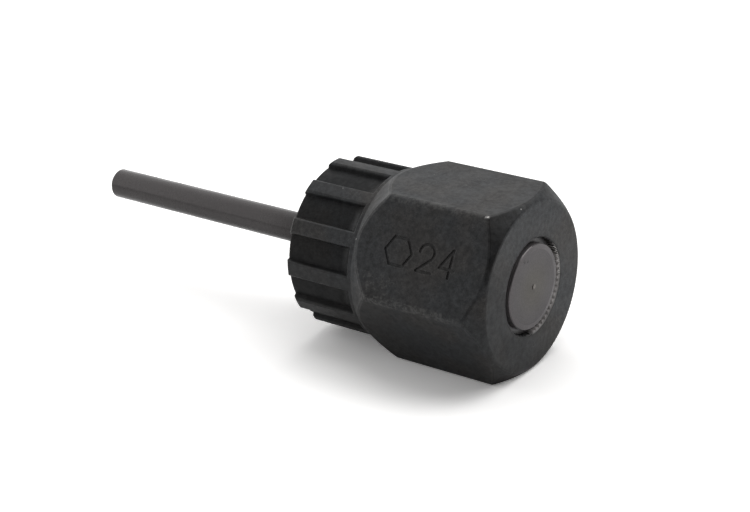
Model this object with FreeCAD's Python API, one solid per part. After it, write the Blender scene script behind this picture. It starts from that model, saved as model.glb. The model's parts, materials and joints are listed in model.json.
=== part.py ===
import FreeCAD, Part

import math
import os

from FreeCAD import Vector

# A tool that turns the lockring of a bicycle's rear sprockets. It is a steel body with a
# hexagonal wrench head and a spline, and a guide pin pressed into the head. Lengths are in
# millimetres. The shapes are made about the X axis, with the head's end face at x = 0 and
# the spline and the rod towards -X, and are moved at the end to lie on one flat of the head.

# Hexagonal wrench head
hex_across_flats = 24.0
hex_edge_round = 0.9
head_length = 20.9
end_face_inset = 0.45
end_face_round = 0.6
front_bevel_angle = 45.0
rear_bevel_angle = 30.0
flat_border_bevel = 0.2

# Spline that fits the lockring
spline_length = 10.9
tooth_count = 12
spline_tip_diameter = 23.5
tooth_height = 0.8
tooth_tip_width = 2.0
tooth_flank_angle = 14.0
tooth_tip_bevel = 0.15
cutter_radius = 2.0
rim_width = 0.5
spline_end_bevel = 0.4

# Open recess in the spline end, which takes the end of the hub's axle
spline_wall = 2.2
recess_depth = 14.0
recess_mouth_bevel = 0.5

# Bore in the head, and the straight knurl of the pin's head, which bites into its wall
bore_diameter = 13.0
bore_depth = 8.0
bore_mouth_bevel = 0.3
knurl_pitch = 0.8
knurl_height = 0.2
groove_depth = 1.0
groove_width = 0.65

# Guide pin
pin_face_proud = 0.08
pin_rim_width = 0.75
pin_rim_drop = 0.09
pin_rim_bevel = 0.12
pip_diameter = 0.7
pip_height = 0.06
seat_step = 0.35
seat_clearance = 0.03
rod_diameter = 4.3
rod_reach = 41.5
rod_tip_bevel = 0.45

# Wrench size cut into one flat of the head: a small hexagon and two digits
mark_height = 3.6
mark_digit_width = 2.2
mark_gap = 1.1
mark_line_width = 0.4
mark_depth = 0.16
mark_from_end_face = 10.5
mark_flat_angle = 150.0
four_stem_share = 0.72
four_bar_share = 0.3

HEX_SIDES = 6
FULL_TURN = 360.0
PAST = 1.0
SAME = 1e-7
AXIS = Vector(1, 0, 0)
CENTRE = Vector(0, 0, 0)

hex_radius = hex_across_flats / 2
hex_corner_radius = hex_radius / math.cos(math.pi / HEX_SIDES)
end_face_radius = hex_radius - end_face_inset
tip_radius = spline_tip_diameter / 2
root_radius = tip_radius - tooth_height
bore_radius = bore_diameter / 2
recess_radius = root_radius - spline_wall
pin_face_radius = bore_radius - groove_width
rod_radius = rod_diameter / 2
seat_radius = rod_radius + seat_step
body_length = head_length + spline_length
recess_floor = recess_depth - body_length
rod_tip = -body_length - rod_reach
pin_top = pin_face_proud + pip_height


def rounded_wire(corners):
    """A closed wire through corners, each given as a point and the radius that rounds it."""
    turns = []
    for index, (corner, radius) in enumerate(corners):
        back = (corners[index - 1][0] - corner).normalize()
        onward = (corners[(index + 1) % len(corners)][0] - corner).normalize()
        half_angle = back.getAngle(onward) / 2
        reach = radius / math.tan(half_angle)
        inward = (back + onward).normalize() if radius else CENTRE
        middle = corner + inward * (radius / math.sin(half_angle) - radius)
        turns.append((corner + back * reach, middle, corner + onward * reach))
    edges = []
    for index, (start, middle, end) in enumerate(turns):
        if start.distanceToPoint(end) > SAME:
            edges.append(Part.Arc(start, middle, end).toShape())
        following = turns[(index + 1) % len(turns)][0]
        if end.distanceToPoint(following) > SAME:
            edges.append(Part.LineSegment(end, following).toShape())
    return Part.Wire(edges)


def turned(profile):
    """The solid that a closed outline sweeps about the axis. Each corner of the outline is
    its place along the axis, its radius from the axis and the radius that rounds it."""
    wire = rounded_wire([(Vector(x, 0, radius), fillet) for x, radius, fillet in profile])
    return Part.Face(wire).revolve(CENTRE, AXIS, FULL_TURN)


def around_axis(radius, degrees):
    angle = math.radians(degrees)
    return Vector(0, radius * math.cos(angle), radius * math.sin(angle))


def prism(wire, start, end):
    """Extrude a wire that lies across the axis from one place on the axis to another."""
    face = Part.Face(wire)
    face.translate(AXIS * start)
    return face.extrude(AXIS * (end - start))


def hexagon(across_flats, corner_round):
    corner_radius = across_flats / 2 / math.cos(math.pi / HEX_SIDES)
    step = FULL_TURN / HEX_SIDES
    corners = [around_axis(corner_radius, step * side) for side in range(HEX_SIDES)]
    return rounded_wire([(corner, corner_round) for corner in corners])


def front_bevel():
    """Everything inside the rounded end face and the bevel that grows from it."""
    growth = head_length * math.tan(math.radians(front_bevel_angle))
    return turned([
        (0, 0, 0),
        (0, end_face_radius, end_face_round),
        (-head_length, end_face_radius + growth, 0),
        (-head_length, 0, 0),
    ])


def rear_bevel():
    """Everything inside the bevel that grows from the spline's tips towards the end face."""
    growth = head_length * math.tan(math.radians(rear_bevel_angle))
    return turned([
        (-head_length, 0, 0),
        (-head_length, tip_radius, 0),
        (0, tip_radius + growth, 0),
        (0, 0, 0),
    ])


def spline_bar():
    """The round bar that the teeth are cut from, with a bevelled end."""
    return turned([
        (-body_length, 0, 0),
        (-body_length, tip_radius - spline_end_bevel, 0),
        (spline_end_bevel - body_length, tip_radius, 0),
        (-head_length, tip_radius, 0),
        (-head_length, 0, 0),
    ])


def flat_borders(shape):
    """The curved edges where a bevel meets a flat or a rounded long edge of the hexagon."""
    def lies_along_axis(face):
        surface = face.Surface
        if isinstance(surface, Part.Plane):
            return abs(surface.Axis.dot(AXIS)) < SAME
        return isinstance(surface, Part.Cylinder) and surface.Center.cross(AXIS).Length > SAME

    def is_border(edge):
        faces = shape.ancestorsOfType(edge, Part.Face)
        cones = [face for face in faces if isinstance(face.Surface, Part.Cone)]
        return len(cones) == 1 and any(lies_along_axis(face) for face in faces)

    return [edge for edge in shape.Edges if is_border(edge)]


def blank():
    """The body before its teeth and holes are cut."""
    head = prism(hexagon(hex_across_flats, hex_edge_round), -head_length, 0)
    head = head.common(front_bevel()).common(rear_bevel())
    shape = head.fuse(spline_bar()).removeSplitter()
    return shape.makeChamfer(flat_border_bevel, flat_borders(shape))


def arc_about_axis(start, end):
    middle = (start + end).normalize() * start.Length
    return Part.Arc(start, middle, end).toShape()


def spline_section():
    """Outline of the toothed shaft: each tooth has sloping flanks and bevelled tip corners."""
    flank = math.radians(tooth_flank_angle)
    flank_offset = tooth_tip_width / 2 * math.cos(flank) + tip_radius * math.sin(flank)
    foot_along = math.sqrt(root_radius**2 - flank_offset**2)
    corner_along = math.sqrt(tip_radius**2 - flank_offset**2)
    corner_angle = math.atan2(flank_offset, corner_along) - flank
    tip_angle = math.degrees(corner_angle - tooth_tip_bevel / tip_radius)
    pitch = FULL_TURN / tooth_count

    def flank_points(tooth, side):
        """One flank's foot, its top and the edge of the tooth's tip beside it."""
        outward = around_axis(1, pitch * tooth)
        sideways = around_axis(1, pitch * tooth + FULL_TURN / 4 * side)
        normal = (sideways * math.cos(flank) + outward * math.sin(flank)) * flank_offset
        along = outward * math.cos(flank) - sideways * math.sin(flank)
        foot = normal + along * foot_along
        top = normal + along * (corner_along - tooth_tip_bevel)
        return foot, top, around_axis(tip_radius, pitch * tooth + tip_angle * side)

    edges = []
    for tooth in range(tooth_count):
        near_foot, near_top, near_tip = flank_points(tooth, -1)
        far_foot, far_top, far_tip = flank_points(tooth, 1)
        next_foot = flank_points(tooth + 1, -1)[0]
        edges += [
            Part.LineSegment(near_foot, near_top).toShape(),
            Part.LineSegment(near_top, near_tip).toShape(),
            arc_about_axis(near_tip, far_tip),
            Part.LineSegment(far_tip, far_top).toShape(),
            Part.LineSegment(far_top, far_foot).toShape(),
            arc_about_axis(far_foot, next_foot),
        ]
    return Part.Wire(edges)


def between_teeth():
    """What the cutter takes away around the teeth. It leaves a curved run-out at the rim."""
    run_out = math.sqrt(cutter_radius**2 - max(cutter_radius - tooth_height, 0)**2)
    floor_end = -head_length - rim_width - run_out
    outside = max(hex_corner_radius, root_radius + cutter_radius) + PAST
    ring = turned([
        (-body_length - PAST, root_radius - PAST, 0),
        (floor_end, root_radius - PAST, 0),
        (floor_end, root_radius, 0),
        (floor_end + cutter_radius, root_radius, cutter_radius),
        (floor_end + cutter_radius, outside, 0),
        (-body_length - PAST, outside, 0),
    ])
    return ring.cut(prism(spline_section(), -body_length - 2 * PAST, 0))


def knurled(start, end):
    """A round bar with straight pointed ridges, as many as the pitch gives."""
    count = round(math.pi * bore_diameter / knurl_pitch)
    step = FULL_TURN / count
    corners = []
    for ridge in range(count):
        corners.append((around_axis(bore_radius + knurl_height, step * ridge), 0))
        corners.append((around_axis(bore_radius, step * ridge + step / 2), 0))
    return prism(rounded_wire(corners), start, end)


def bore_mouth():
    return turned([
        (-bore_mouth_bevel, 0, 0),
        (-bore_mouth_bevel, bore_radius, 0),
        (PAST, bore_radius + bore_mouth_bevel + PAST, 0),
        (PAST, 0, 0),
    ])


def recess():
    return turned([
        (recess_floor, 0, 0),
        (recess_floor, recess_radius, 0),
        (recess_mouth_bevel - body_length, recess_radius, 0),
        (-body_length - PAST, recess_radius + recess_mouth_bevel + PAST, 0),
        (-body_length - PAST, 0, 0),
    ])


def pin_hole():
    length = -bore_depth - recess_floor + 2 * PAST
    radius = seat_radius + seat_clearance
    return Part.makeCylinder(radius, length, AXIS * (recess_floor - PAST), AXIS)


def digit_two():
    """Centre line of a two: a round top, a neck that leaves it smoothly, and a straight foot."""
    radius = mark_digit_width / 2
    centre = Vector(radius, mark_height - radius, 0)
    leaves_at = math.atan2(-centre.y, -centre.x) + math.acos(radius / centre.Length)
    leave = centre + Vector(math.cos(leaves_at), math.sin(leaves_at), 0) * radius
    left = centre - Vector(radius, 0, 0)
    top = centre + Vector(0, radius, 0)
    foot_end = Vector(mark_digit_width, 0, 0)
    return [Part.Wire([
        Part.Arc(left, top, leave).toShape(),
        Part.LineSegment(leave, CENTRE).toShape(),
        Part.LineSegment(CENTRE, foot_end).toShape(),
    ])]


def digit_four():
    """Centre lines of a four: its stem with the slope, and the slope with the crossbar."""
    stem = mark_digit_width * four_stem_share
    bar = mark_height * four_bar_share
    top = Vector(stem, mark_height, 0)
    left = Vector(0, bar, 0)
    return [
        Part.makePolygon([Vector(stem, 0, 0), top, left]),
        Part.makePolygon([top, left, Vector(mark_digit_width, bar, 0)]),
    ]


def digit_grooves(lines, left):
    """Grooves along a digit's centre lines, drawn flat with the digit's left side at x."""
    faces = [Part.Face(line.makeOffset2D(mark_line_width / 2)) for line in lines]
    for face in faces:
        face.translate(Vector(left, 0, -mark_depth))
    return [face.extrude(Vector(0, 0, mark_depth + PAST)) for face in faces]


def hexagon_groove(centre_x):
    """A hexagonal ring groove as high as the digits, drawn flat."""
    outer = prism(hexagon(mark_height + mark_line_width, 0), -mark_depth, PAST)
    inner = prism(hexagon(mark_height - mark_line_width, 0), -mark_depth - PAST, 2 * PAST)
    ring = outer.cut(inner)
    ring.rotate(CENTRE, Vector(0, 1, 0), -FULL_TURN / 4)
    ring.rotate(CENTRE, Vector(0, 0, 1), FULL_TURN / 4)
    ring.translate(Vector(centre_x, mark_height / 2, 0))
    return ring


def size_mark():
    """The grooves of the wrench size, laid on one flat of the head."""
    symbol_width = mark_height / math.cos(math.pi / HEX_SIDES)
    first_digit = symbol_width + mark_gap
    second_digit = first_digit + mark_digit_width + mark_gap
    grooves = [hexagon_groove(symbol_width / 2)]
    grooves += digit_grooves(digit_two(), first_digit)
    grooves += digit_grooves(digit_four(), second_digit)
    width = second_digit + mark_digit_width
    mark = Part.makeCompound(grooves)
    mark.translate(Vector(-mark_from_end_face - width / 2, -mark_height / 2, hex_radius))
    mark.rotate(CENTRE, AXIS, mark_flat_angle - FULL_TURN / 4)
    return mark


def tool_body():
    shape = blank()
    holes = [
        between_teeth(),
        recess(),
        knurled(-bore_depth, PAST),
        bore_mouth(),
        pin_hole(),
    ]
    for cutter in holes + size_mark().Solids:
        shape = shape.cut(cutter)
    return shape


def guide_pin():
    """One turned pin: a thin rod, the seat that fills the body's hole, and a round head."""
    pin_edge = pin_face_proud - pin_rim_drop
    turned_pin = turned([
        (rod_tip, 0, 0),
        (rod_tip, rod_radius - rod_tip_bevel, 0),
        (rod_tip + rod_tip_bevel, rod_radius, 0),
        (recess_floor, rod_radius, 0),
        (recess_floor, seat_radius, 0),
        (-bore_depth, seat_radius, 0),
        (-bore_depth, pin_face_radius, 0),
        (pin_edge - pin_rim_bevel, pin_face_radius, 0),
        (pin_edge, pin_face_radius - pin_rim_bevel, 0),
        (pin_face_proud, pin_face_radius - pin_rim_width, 0),
        (pin_face_proud, pip_diameter / 2, 0),
        (pin_top, pip_diameter / 2, 0),
        (pin_top, 0, 0),
    ])
    return turned_pin.fuse(knurled(-bore_depth, -groove_depth)).removeSplitter()


def main():
    os.makedirs("parts", exist_ok=True)
    to_rest = Vector(-(rod_tip + pin_top) / 2, 0, hex_radius)
    for name, shape in (("tool_body", tool_body()), ("guide_pin", guide_pin())):
        shape.translate(to_rest)
        shape.exportStep(f"parts/{name}.step")


main()
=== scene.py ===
import json
import math

import bpy
from mathutils import Matrix, Vector

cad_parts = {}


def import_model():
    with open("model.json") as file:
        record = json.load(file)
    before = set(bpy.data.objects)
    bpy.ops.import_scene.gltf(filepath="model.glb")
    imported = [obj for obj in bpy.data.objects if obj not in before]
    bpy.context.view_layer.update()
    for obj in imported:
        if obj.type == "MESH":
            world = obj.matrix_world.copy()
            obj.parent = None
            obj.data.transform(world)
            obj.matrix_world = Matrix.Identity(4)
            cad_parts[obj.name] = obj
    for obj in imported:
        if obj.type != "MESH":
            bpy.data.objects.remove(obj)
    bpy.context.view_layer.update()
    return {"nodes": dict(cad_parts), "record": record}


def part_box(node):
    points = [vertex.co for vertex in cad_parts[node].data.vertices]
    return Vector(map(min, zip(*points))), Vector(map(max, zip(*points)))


# The looks of a cassette lockring tool: a blackened steel body with a smoother and slightly
# browner guide pin, lying on a white surface. Lengths are in metres and angles in degrees,
# apart from the sizes inside the materials, which are in millimetres.

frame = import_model()

BODY = frame["nodes"]["tool_body"]
PIN = frame["nodes"]["guide_pin"]
MOUNTS = {mount["name"]: mount for mount in frame["record"]["mounts"]}
MM = 0.001

# The tool's axis lies along X, at the guide pin's height, with the end face at the body's
# highest X.
AXIS_HEIGHT = MOUNTS["guide_pin"]["pos_m"][2]
END_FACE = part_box("tool_body")[1].x

# Camera, measured from the end face's centre
CAMERA_AZIMUTH = 37.085
CAMERA_ELEVATION = 24.244
CAMERA_ROLL = -2.904
CAMERA_DISTANCE = 0.243213
CAMERA_AIM_RIGHT = -0.020355
CAMERA_AIM_UP = 0.005068
CAMERA_NEAR = 0.01
SENSOR_WIDTH = 36.0
LENS = 89.806

# Light: a room whose sides differ in brightness, brightest on the left and behind the tool,
# and two large soft lamps
WHITE = (1.0, 1.0, 1.0)
ROOM_LEVELS = (("X", 1, 0.2), ("X", -1, 2.1), ("Y", 1, 0.65), ("Y", -1, 0.16), ("Z", 1, 0.2))
LAMPS = (
    ("top_lamp", (0.0, 0.2, 0.65), 0.7, 2.1),
    ("back_lamp", (0.4, 0.3, 0.5), 0.5, 1.6),
)
FLOOR_SIZE = 3.0
FLOOR_DROP = 0.00002
FLOOR_COLOR = (0.84, 0.84, 0.84)
FLOOR_SEEN = (1.28, 1.27, 1.26)
FLOOR_GLOW = 0.095

# Places of a Mix node's two colours and of its mixed colour among its sockets
MIX_COLORS = slice(6, 8)
MIX_RESULT = 2


class Nodes:
    """Adds shader nodes to one tree and joins them."""

    def __init__(self, owner):
        owner.use_nodes = True
        self.tree = owner.node_tree
        self.tree.nodes.clear()

    def add(self, kind, inputs=None, **settings):
        node = self.tree.nodes.new(kind)
        for name, value in settings.items():
            setattr(node, name, value)
        for name, value in (inputs or {}).items():
            self.feed(node.inputs[name], value)
        return node

    def feed(self, socket, value):
        if isinstance(value, bpy.types.NodeSocket):
            self.tree.links.new(value, socket)
        elif socket.type == "RGBA":
            socket.default_value = (*value, 1.0)
        else:
            socket.default_value = value

    def math(self, operation, *values):
        node = self.add("ShaderNodeMath", operation=operation)
        for socket, value in zip(node.inputs, values):
            self.feed(socket, value)
        return node.outputs[0]

    def times(self, first, *others):
        for other in others:
            first = self.math("MULTIPLY", first, other)
        return first

    def most(self, first, *others):
        for other in others:
            first = self.math("MAXIMUM", first, other)
        return first

    def vector(self, operation, *values):
        node = self.add("ShaderNodeVectorMath", operation=operation)
        for socket, value in zip(node.inputs, values):
            self.feed(socket, value)
        return node.outputs["Value" if operation in ("LENGTH", "DOT_PRODUCT") else "Vector"]

    def ramp(self, value, start, end, low=0.0, high=1.0):
        """A value that goes smoothly from low to high as another goes from start to end."""
        node = self.add("ShaderNodeMapRange", interpolation_type="SMOOTHSTEP")
        for socket, number in zip(node.inputs, (value, start, end, low, high)):
            self.feed(socket, number)
        return node.outputs[0]

    def fade(self, mask, level):
        """A factor that goes from 1 to a level as a mask goes from 0 to 1."""
        return self.ramp(mask, 0.0, 1.0, 1.0, level)

    def shaded(self, color, *shades):
        """A colour darkened or lightened by each of the given factors."""
        for shade in shades:
            node = self.add("ShaderNodeVectorMath", {0: color, "Scale": shade}, operation="SCALE")
            color = node.outputs["Vector"]
        return color

    def mix(self, share, first, second):
        node = self.add("ShaderNodeMix", data_type="RGBA")
        self.feed(node.inputs["Factor"], share)
        for socket, color in zip(node.inputs[MIX_COLORS], (first, second)):
            self.feed(socket, color)
        return node.outputs[MIX_RESULT]

    def noise(self, point, size, detail=2.0, roughness=0.5, distortion=0.0):
        """Soft noise between 0 and 1 whose blotches are about as wide as size."""
        node = self.add("ShaderNodeTexNoise", {
            "Vector": point,
            "Scale": 1 / size,
            "Detail": detail,
            "Roughness": roughness,
            "Distortion": distortion,
        })
        return node.outputs["Fac"]


def new_object(name, data):
    obj = bpy.data.objects.new(name, data)
    bpy.context.scene.collection.objects.link(obj)
    return obj


def camera():
    azimuth, elevation, roll = (
        math.radians(angle) for angle in (CAMERA_AZIMUTH, CAMERA_ELEVATION, CAMERA_ROLL)
    )
    back = Vector((
        math.sin(azimuth) * math.cos(elevation),
        -math.cos(azimuth) * math.cos(elevation),
        math.sin(elevation),
    ))
    right = Vector((math.cos(azimuth), math.sin(azimuth), 0))
    up = back.cross(right)
    place = Vector((END_FACE, 0, AXIS_HEIGHT)) + back * CAMERA_DISTANCE
    place += right * CAMERA_AIM_RIGHT + up * CAMERA_AIM_UP
    turned_right = right * math.cos(roll) + up * math.sin(roll)
    turned_up = up * math.cos(roll) - right * math.sin(roll)
    turn = Matrix((turned_right, turned_up, back)).transposed().to_4x4()
    data = bpy.data.cameras.new("camera")
    data.lens = LENS
    data.sensor_width = SENSOR_WIDTH
    data.clip_start = CAMERA_NEAR
    eye = new_object("camera", data)
    eye.matrix_world = Matrix.Translation(place) @ turn
    bpy.context.scene.camera = eye


def world():
    """A room whose walls and ceiling each have a brightness and blend into each other."""
    sky = bpy.data.worlds.new("room")
    bpy.context.scene.world = sky
    n = Nodes(sky)
    way = n.add("ShaderNodeSeparateXYZ", {0: n.add("ShaderNodeTexCoord").outputs["Generated"]})
    total = 0.0
    for axis, side, level in ROOM_LEVELS:
        towards = n.most(n.times(way.outputs[axis], side), 0.0)
        total = n.math("ADD", total, n.times(n.math("POWER", towards, 2.0), level))
    light = n.add("ShaderNodeBackground", {"Color": WHITE, "Strength": total})
    n.add("ShaderNodeOutputWorld", {"Surface": light.outputs[0]})


def lamps():
    for name, place, size, power in LAMPS:
        data = bpy.data.lights.new(name, "AREA")
        data.shape = "DISK"
        data.size = size
        data.energy = power
        obj = new_object(name, data)
        obj.location = place
        obj.rotation_euler = Vector(place).to_track_quat("Z", "Y").to_euler()


def floor():
    """A plain pale floor. It is seen and mirrored whiter than it lights what lies on it, so that
    it comes out white and keeps the tool's shadow."""
    half = FLOOR_SIZE / 2
    corners = [(-half, -half, 0), (half, -half, 0), (half, half, 0), (-half, half, 0)]
    mesh = bpy.data.meshes.new("floor")
    mesh.from_pydata(corners, [], [(0, 1, 2, 3)])
    obj = new_object("floor", mesh)
    obj.location.z = -FLOOR_DROP
    paper = bpy.data.materials.new("white_floor")
    n = Nodes(paper)
    ray = n.add("ShaderNodeLightPath").outputs
    mirrored = n.most(ray["Is Glossy Ray"], ray["Is Transmission Ray"])
    lit = n.add("ShaderNodeBsdfDiffuse", {"Color": n.mix(mirrored, FLOOR_COLOR, WHITE)})
    white = n.add("ShaderNodeBsdfDiffuse", {"Color": FLOOR_SEEN})
    glow = n.add("ShaderNodeEmission", {"Color": WHITE, "Strength": FLOOR_GLOW})
    seen = n.add("ShaderNodeAddShader", {0: white.outputs[0], 1: glow.outputs[0]})
    both = n.add("ShaderNodeMixShader", {
        0: ray["Is Camera Ray"],
        1: lit.outputs[0],
        2: seen.outputs[0],
    })
    n.add("ShaderNodeOutputMaterial", {"Surface": both.outputs[0]})
    mesh.materials.append(paper)


# Where the body's parts are, in millimetres from the end face's centre
HEAD_REAR = -20.9
SPLINE_REAR = -31.8
END_FACE_RADIUS = 11.55
TOOTH_TIP_RADIUS = 11.75
BORE_RADIUS = 6.5
BORE_SLOT_DEPTH = 1.1
PIN_SHOULDER = -9.0
# Place of the painted highlight on the turning pip at the disc's centre
PIP_HIGHLIGHT = Vector((0.14, 0.08, 0.08))

# Body: blackened steel
OXIDE_BLUE = (0.0156, 0.0167, 0.0183)
OXIDE_BROWN = (0.0198, 0.0182, 0.0172)
# Rubbed oxide, also used for painted highlights along the edges
OXIDE_WORN_AND_HIGHLIGHT = (0.085, 0.083, 0.080)
BARE_STEEL = (0.66, 0.64, 0.62)
RIDGE_STEEL = (0.26, 0.25, 0.247)
# Painted light deep in the bore's wall, lighter where its own shade falls
DEEP_RIDGE_PAINTED_LIGHT = (0.60, 0.57, 0.56)
OXIDE_SPECULAR = 0.32
VALLEY_SPECULAR = 0.16
EDGE_SOFTNESS = 0.12
# Width of the edge wear, which also carries painted highlights
EDGE_WEAR_AND_HIGHLIGHT_WIDTH = 0.4
BODY_BUMP = 0.02

# Directions round the tool's axis are in degrees, from +Y towards +Z.

# Spots where the black is worn through: a place, a radius and how bare the metal is
WORN_SPOTS = (
    (Vector((-2.33, -6.78, 11.90)), 0.26, 0.62),
    (Vector((-2.62, -6.84, 11.92)), 0.20, 0.34),
    (Vector((-0.34, -2.16, 11.70)), 0.13, 0.45),
    (Vector((-20.88, -10.06, 6.08)), 0.16, 0.30),
    (Vector((-26.30, -5.29, 10.49)), 0.10, 0.35),
    (Vector((-16.50, 0.81, 12.00)), 0.11, 0.16),
    (Vector((-16.20, 1.60, 12.00)), 0.10, 0.14),
    (Vector((-12.40, 2.31, 12.00)), 0.09, 0.16),
    (Vector((-10.49, 0.59, 12.00)), 0.11, 0.16),
)
# The hexagon's worn edges: their direction and how worn they are
WORN_HEX_EDGES = ((180.5, 0.62), (120.0, 0.4))
# The bore's wall, bare steel with painted light on its lit lower right: its direction, how far it
# reaches to both sides and how far it is fully lit. Painted shade darkens its lower part.
LIT_BARE_WALL = (-36.0, 60.0, 49.0)
SHADED_WALL = (-86.0, 50.0)
# Painted glints on the ends of the ridges beside it: their direction, how far they reach to both
# sides and how bright they are, and how many ridges there would be all round
RIDGE_END_GLINTS = ((14.0, 28.0, 1.0), (-88.0, 22.0, 0.12))
GLINT_RIDGES = 132.0

# Pin: darkened steel, smoother than the body
PIN_ROD = (0.085, 0.080, 0.080)
PIN_DISC = (0.081, 0.0755, 0.077)
PIN_DISC_BROWN = (0.086, 0.080, 0.073)
PIN_BUMP = 0.006
DISC_SCUFFS = ((Vector((0.08, -2.2, 4.4)), 0.45), (Vector((0.08, -1.4, 4.2)), 0.35))


def surface_place(n):
    """Where a point of the surface is, in millimetres from the end face's centre: the point
    itself, how far it is along the axis, how far out from it and its direction round it."""
    coords = n.add("ShaderNodeTexCoord").outputs["Object"]
    metres = n.vector("SUBTRACT", coords, (END_FACE, 0, AXIS_HEIGHT))
    point = n.vector("MULTIPLY", metres, (1 / MM, 1 / MM, 1 / MM))
    parts = n.add("ShaderNodeSeparateXYZ", {0: point})
    across = n.vector("LENGTH", n.vector("MULTIPLY", point, (0, 1, 1)))
    angle = n.math("ARCTAN2", parts.outputs["Z"], parts.outputs["Y"])
    return point, parts.outputs["X"], across, angle


def facing(n, angle, middle, reach, full=None):
    """A mask of the directions round the axis that lie within reach of the middle one, and
    fully so up to a smaller distance from it."""
    nearness = n.math("COSINE", n.math("SUBTRACT", angle, math.radians(middle)))
    full = 0.6 * reach if full is None else full
    return n.ramp(nearness, math.cos(math.radians(reach)), math.cos(math.radians(full)))


def near(n, point, place, radius, inner):
    """A mask of a round spot, full up to the inner radius."""
    away = n.vector("LENGTH", n.vector("SUBTRACT", point, place))
    return n.ramp(away, radius, inner)


def edges(n):
    """Masks of the sharp and tightly rounded edges, the second one also of blunt ones, and a
    normal that softens them a little."""
    wide = n.add("ShaderNodeBevel", {"Radius": EDGE_WEAR_AND_HIGHLIGHT_WIDTH * MM}, samples=6).outputs[0]
    soft = n.add("ShaderNodeBevel", {"Radius": EDGE_SOFTNESS * MM}, samples=6).outputs[0]
    plain = n.add("ShaderNodeNewGeometry").outputs["Normal"]
    bend = n.vector("DOT_PRODUCT", wide, plain)
    return n.ramp(bend, 0.995, 0.93), n.ramp(bend, 0.999, 0.975), soft


def specks(n, point, spacing, radius, share):
    """Small round spots, one for a share of the cells of a loose grid."""
    cells = n.add("ShaderNodeTexVoronoi", {"Vector": point, "Scale": 1 / spacing})
    chance = n.add("ShaderNodeSeparateXYZ", {0: cells.outputs["Color"]}).outputs["X"]
    size = radius / spacing
    return n.times(
        n.math("LESS_THAN", chance, share),
        n.ramp(cells.outputs["Distance"], size, size / 2),
    )


def scratches(n, point, turn, length, width, share):
    """Fine straight scratches that all run one way, broken up by a coarser pattern."""
    turned = n.add("ShaderNodeVectorRotate", {
        "Vector": point,
        "Axis": (0.35, 0.3, 1),
        "Angle": math.radians(turn),
    }).outputs[0]
    drawn_out = n.vector("MULTIPLY", turned, (1 / length, 1 / width, 1 / width))
    return n.times(
        n.ramp(n.noise(drawn_out, 1.0, 0.0), 0.74, 0.8),
        n.ramp(n.noise(turned, 2.5 * length, 1.0), 0.62 - share, 0.72 - share),
    )


def turned_lines(n, along, across, spacing):
    """Fine lines round the axis, on flat faces as rings and on round ones as turns."""
    place = n.add("ShaderNodeCombineXYZ", {0: n.math("ADD", across, along)}).outputs[0]
    return n.noise(place, spacing, 3.0, 0.7)


def worn_spots(n, point):
    torn = n.ramp(n.noise(point, 0.3, 3.0, 0.7), 0.3, 0.7, 0.55, 1.5)
    total = 0.0
    for place, radius, depth in WORN_SPOTS:
        away = n.vector("LENGTH", n.vector("SUBTRACT", point, place))
        total = n.most(total, n.ramp(n.times(away, torn), radius, radius / 4, 0.0, depth))
    return total


def bore_mouth(n, along, across, angle):
    """Masks of the bore's mouth: its wall on the lower right, bare steel cut by the pin's ridges
    that gets painted light there, the painted glints on the ends of the ridges on both sides of
    it, and the rim's painted shade."""
    mouth = n.times(
        n.ramp(across, BORE_RADIUS + 0.32, BORE_RADIUS + 0.24),
        n.ramp(along, -BORE_SLOT_DEPTH, -BORE_SLOT_DEPTH + 0.1),
    )
    bare_lit_wall = n.times(mouth, facing(n, angle, *LIT_BARE_WALL))
    ends = 0.0
    for middle, reach, level in RIDGE_END_GLINTS:
        ends = n.most(ends, n.times(facing(n, angle, middle, reach), level))
    ridges = n.ramp(n.math("COSINE", n.times(angle, GLINT_RIDGES)), 0.2, 0.9)
    ridge_glints = n.times(mouth, n.ramp(across, BORE_RADIUS + 0.28, BORE_RADIUS + 0.2), ends, ridges)
    # Painted shade on the end face's rounded rim round the bore, except on the lit wall
    rim_shade = n.times(
        n.ramp(across, BORE_RADIUS + 0.7, BORE_RADIUS + 0.3),
        n.ramp(along, -0.4, -0.2),
        n.math("SUBTRACT", 1.0, bare_lit_wall),
    )
    return bare_lit_wall, ridge_glints, rim_shade


def valleys(n, along, across):
    """A mask of the floors between the teeth, up to where the cutter ran out in the head."""
    return n.times(
        n.ramp(along, HEAD_REAR + 1.3, HEAD_REAR + 0.5),
        n.ramp(across, TOOTH_TIP_RADIUS - 0.1, TOOTH_TIP_RADIUS - 0.5),
        n.ramp(along, SPLINE_REAR + 0.05, SPLINE_REAR + 0.25),
    )


def corner_shade(n, along, across, angle):
    """A mask of the front bevel's part at the hexagon's upper and lower front corners, which gets
    painted shade.
    """
    return n.times(
        n.ramp(across, END_FACE_RADIUS - 0.05, END_FACE_RADIUS + 0.1),
        n.ramp(n.math("ADD", across, along), END_FACE_RADIUS - 0.12, END_FACE_RADIUS - 0.05),
        n.most(facing(n, angle, 130.0, 34.0), facing(n, angle, 240.0, 24.0)),
    )


def end_face_painted_light(n, along, across, angle):
    """Painted light on the end face: darker all over and lighter towards the upper right."""
    end_face = n.times(
        n.ramp(across, END_FACE_RADIUS + 0.1, END_FACE_RADIUS - 0.1),
        n.ramp(along, -0.6, -0.3),
    )
    painted_lighter = n.times(end_face, facing(n, angle, 40.0, 130.0))
    return n.fade(end_face, 0.7), n.fade(painted_lighter, 1.9)


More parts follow.
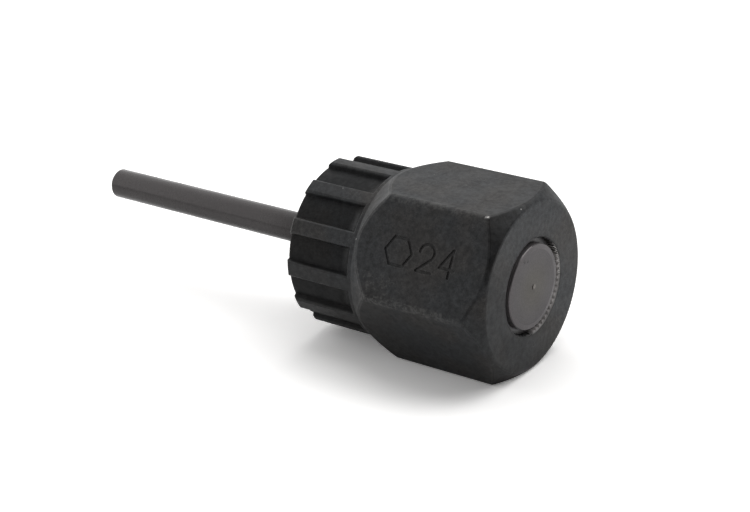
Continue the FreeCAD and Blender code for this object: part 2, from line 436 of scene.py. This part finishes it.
def wear_and_edge_highlights(n, point, along, across, angle, lines):
    """Where the black is rubbed thin: along edges, where the lighter colour is also painted
    highlight, above the lower front edge, in scratches and in nicks. Also the normal that softens
    the edges."""
    edge, rear_edge, soft = edges(n)
    broken = n.noise(point, 0.55, 4.0, 0.7)
    wear_and_highlight = n.times(edge, n.ramp(broken, 0.48, 0.66), 0.35)
    head_side = n.times(
        n.ramp(across, 12.0, 12.3),
        n.ramp(along, HEAD_REAR + 0.8, HEAD_REAR + 1.2),
    )
    for middle, level in WORN_HEX_EDGES:
        wear_and_highlight = n.most(wear_and_highlight, n.times(
            facing(n, angle, middle, 3.4),
            n.ramp(across, 13.0, 13.2),
            head_side,
            n.ramp(along, -1.5, -7.0, 0.3 * level, level),
            n.ramp(broken, 0.42, 0.62),
        ))
    rubbed = n.times(
        facing(n, angle, 173.0, 9.0),
        n.ramp(along, -9.0, -15.0),
        head_side,
        n.ramp(broken, 0.5, 0.64),
        0.4,
    )
    behind = n.times(
        n.ramp(across, 11.85, 12.0),
        n.ramp(along, -17.5, -18.5),
        rear_edge,
        n.ramp(broken, 0.3, 0.6, 0.3, 1.0),
    )
    nicks = n.times(n.most(specks(n, point, 1.5, 0.1, 0.06), n.times(lines, 0.35)), 0.8)
    return n.most(wear_and_highlight, rubbed, behind, nicks), soft


def body_steel():
    mat = bpy.data.materials.new("black_steel")
    n = Nodes(mat)
    point, along, across, angle = surface_place(n)

    # Patches of blue-black and brown-black, mottled and grainy and darker in valleys, with painted
    # shade in grooves, on the underside, at the bevel's corners and on the bore's rim, and painted
    # light on the end face
    cloud = n.noise(point, 7.0, 3.0)
    mottle = n.noise(point, 0.7, 5.0, 0.7)
    grain = n.noise(point, 0.17, 3.0, 0.6)
    smear = n.noise(point, 3.2, 4.0, 0.6, 0.8)
    bare_lit_wall, ridge_glints, rim_shade = bore_mouth(n, along, across, angle)
    valley = valleys(n, along, across)
    corners = corner_shade(n, along, across, angle)
    # Painted shade in grooves and creases, from how hidden each point is
    hollow = n.add("ShaderNodeAmbientOcclusion", {"Distance": 0.5 * MM}, samples=6, only_local=True)
    crevice_shade = n.math("SUBTRACT", n.ramp(hollow.outputs["AO"], 0.9, 0.55), bare_lit_wall)
    # Painted shade on the lower front side of the head and the teeth, strongest towards the rear
    underside_shade = n.times(n.ramp(along, -8.0, -17.0, 0.45, 1.0), facing(n, angle, 214.0, 46.0))
    color = n.shaded(
        n.mix(n.ramp(cloud, 0.38, 0.62), OXIDE_BLUE, OXIDE_BROWN),
        n.ramp(mottle, 0.3, 0.7, 0.62, 1.45),
        n.ramp(grain, 0.3, 0.7, 0.75, 1.3),
        n.ramp(smear, 0.3, 0.7, 0.75, 1.3),
        n.fade(valley, 0.35),
        n.fade(crevice_shade, 0.65),
        n.fade(corners, 0.55),
        n.fade(underside_shade, 0.5),
        n.fade(rim_shade, 0.4),
        *end_face_painted_light(n, along, across, angle),
    )

    # Wear with painted highlights along edges, then the bore's bare wall with painted light and
    # shade, then bare metal at the worn spots and painted glints on the ridge ends in the bore's
    # mouth
    lines = n.most(
        scratches(n, point, 25, 2.2, 0.09, 0.1),
        scratches(n, point, -65, 1.6, 0.08, 0.08),
    )
    wear_and_highlight, soft = wear_and_edge_highlights(n, point, along, across, angle, lines)
    color = n.mix(n.times(wear_and_highlight, n.fade(valley, 0.15)), color, OXIDE_WORN_AND_HIGHLIGHT)
    # The bore's bare wall: painted light that grows with depth, and painted shade on its lower part
    wall_steel_painted_light = n.mix(n.ramp(along, -0.05, -0.35), RIDGE_STEEL, DEEP_RIDGE_PAINTED_LIGHT)
    wall_steel_painted_light = n.shaded(wall_steel_painted_light, n.fade(facing(n, angle, *SHADED_WALL), 0.62))
    color = n.mix(bare_lit_wall, color, wall_steel_painted_light)
    spots = worn_spots(n, point)
    # Bare steel at the worn spots, and painted glints on the ridge ends in the bore's mouth
    color = n.mix(n.most(spots, ridge_glints), color, BARE_STEEL)
    bare_and_glints = n.most(spots, n.times(ridge_glints, 0.3))

    height = n.times(mottle, 0.6)
    height = n.math("ADD", height, n.times(grain, 0.3))
    height = n.math("ADD", height, n.times(turned_lines(n, along, across, 0.16), 0.1))
    height = n.math("SUBTRACT", height, n.times(lines, 0.2))
    bump = n.add("ShaderNodeBump", {
        "Strength": 1.0,
        "Distance": BODY_BUMP * MM,
        "Height": height,
        "Normal": soft,
    })
    shine = n.times(
        n.ramp(mottle, 0.3, 0.7, 0.85, 1.15),
        n.ramp(valley, 0.0, 1.0, OXIDE_SPECULAR, VALLEY_SPECULAR),
        n.fade(corners, 0.7),
    )
    rough = n.math("SUBTRACT", n.ramp(smear, 0.3, 0.7, 0.42, 0.58), n.times(bare_and_glints, 0.2))
    skin = n.add("ShaderNodeBsdfPrincipled", {
        "Base Color": color,
        "Roughness": rough,
        "Metallic": bare_and_glints,
        "Specular IOR Level": shine,
        "Normal": bump.outputs[0],
    })
    n.add("ShaderNodeOutputMaterial", {"Surface": skin.outputs[0]})
    BODY.material_slots[0].material = mat


def pin_steel():
    mat = bpy.data.materials.new("pin_steel")
    n = Nodes(mat)
    point, along, across, angle = surface_place(n)
    cloud = n.noise(point, 3.0, 3.0)
    grain = n.noise(point, 0.2, 3.0, 0.6)
    turned = turned_lines(n, along, across, 0.13)
    head = n.ramp(along, PIN_SHOULDER, PIN_SHOULDER + 1.0)
    rod = n.ramp(along, PIN_SHOULDER, PIN_SHOULDER - 0.5)

    # The head's side is non-metallic and painted lighter, as painted light in the shaded slot; the
    # floor of the slot round it is dark, the disc's outer ring has a painted highlight all along
    # its left, and the rod has painted shade below and towards the body
    side = n.times(n.ramp(along, -0.15, -0.25), head)
    slot_floor = n.times(n.ramp(along, -0.8, -0.95), head)
    ring_highlight = n.times(
        n.ramp(across, 5.0, 5.15),
        n.ramp(along, -0.5, -0.2),
        facing(n, angle, 150.0, 150.0, 100.0),
    )
    root_shade = n.times(n.ramp(along, SPLINE_REAR - 14.0, SPLINE_REAR - 2.0), rod)
    rod_underside_shade = n.times(facing(n, angle, -115.0, 88.0, 76.0), rod)
    scuffs = 0.0
    for place, radius in DISC_SCUFFS:
        scuffs = n.most(scuffs, near(n, point, place, radius, radius / 3))
    scuffs = n.times(scuffs, n.ramp(grain, 0.42, 0.56))
    disc = n.mix(n.ramp(across, 4.6, 1.0), PIN_DISC, PIN_DISC_BROWN)
    color = n.shaded(
        n.mix(head, PIN_ROD, disc),
        n.ramp(turned, 0.3, 0.7, 0.9, 1.1),
        n.ramp(grain, 0.3, 0.7, 0.9, 1.1),
        n.fade(ring_highlight, 1.25),
        n.fade(side, 1.2),
        n.fade(slot_floor, 0.6),
        n.fade(root_shade, 0.65),
        n.fade(rod_underside_shade, 0.78),
        # painted highlight on the turning pip
        n.fade(near(n, point, PIP_HIGHLIGHT, 0.4, 0.2), 1.9),
        n.fade(scuffs, 0.45),
    )
    height = n.math("ADD", n.times(turned, 0.5), n.times(grain, 0.5))
    bump = n.add("ShaderNodeBump", {"Strength": 1.0, "Distance": PIN_BUMP * MM, "Height": height})
    smooth_rod = n.ramp(head, 0.0, 1.0, 0.05, 0.0)
    rough = n.math("SUBTRACT", n.ramp(cloud, 0.3, 0.7, 0.28, 0.38), smooth_rod)
    skin = n.add("ShaderNodeBsdfPrincipled", {
        "Base Color": color,
        "Roughness": rough,
        "Metallic": n.math("SUBTRACT", 1.0, side),
        "Normal": bump.outputs[0],
    })
    n.add("ShaderNodeOutputMaterial", {"Surface": skin.outputs[0]})
    PIN.material_slots[0].material = mat


camera()
world()
lamps()
floor()
body_steel()
pin_steel()
bpy.context.scene.view_settings.view_transform = "Standard"
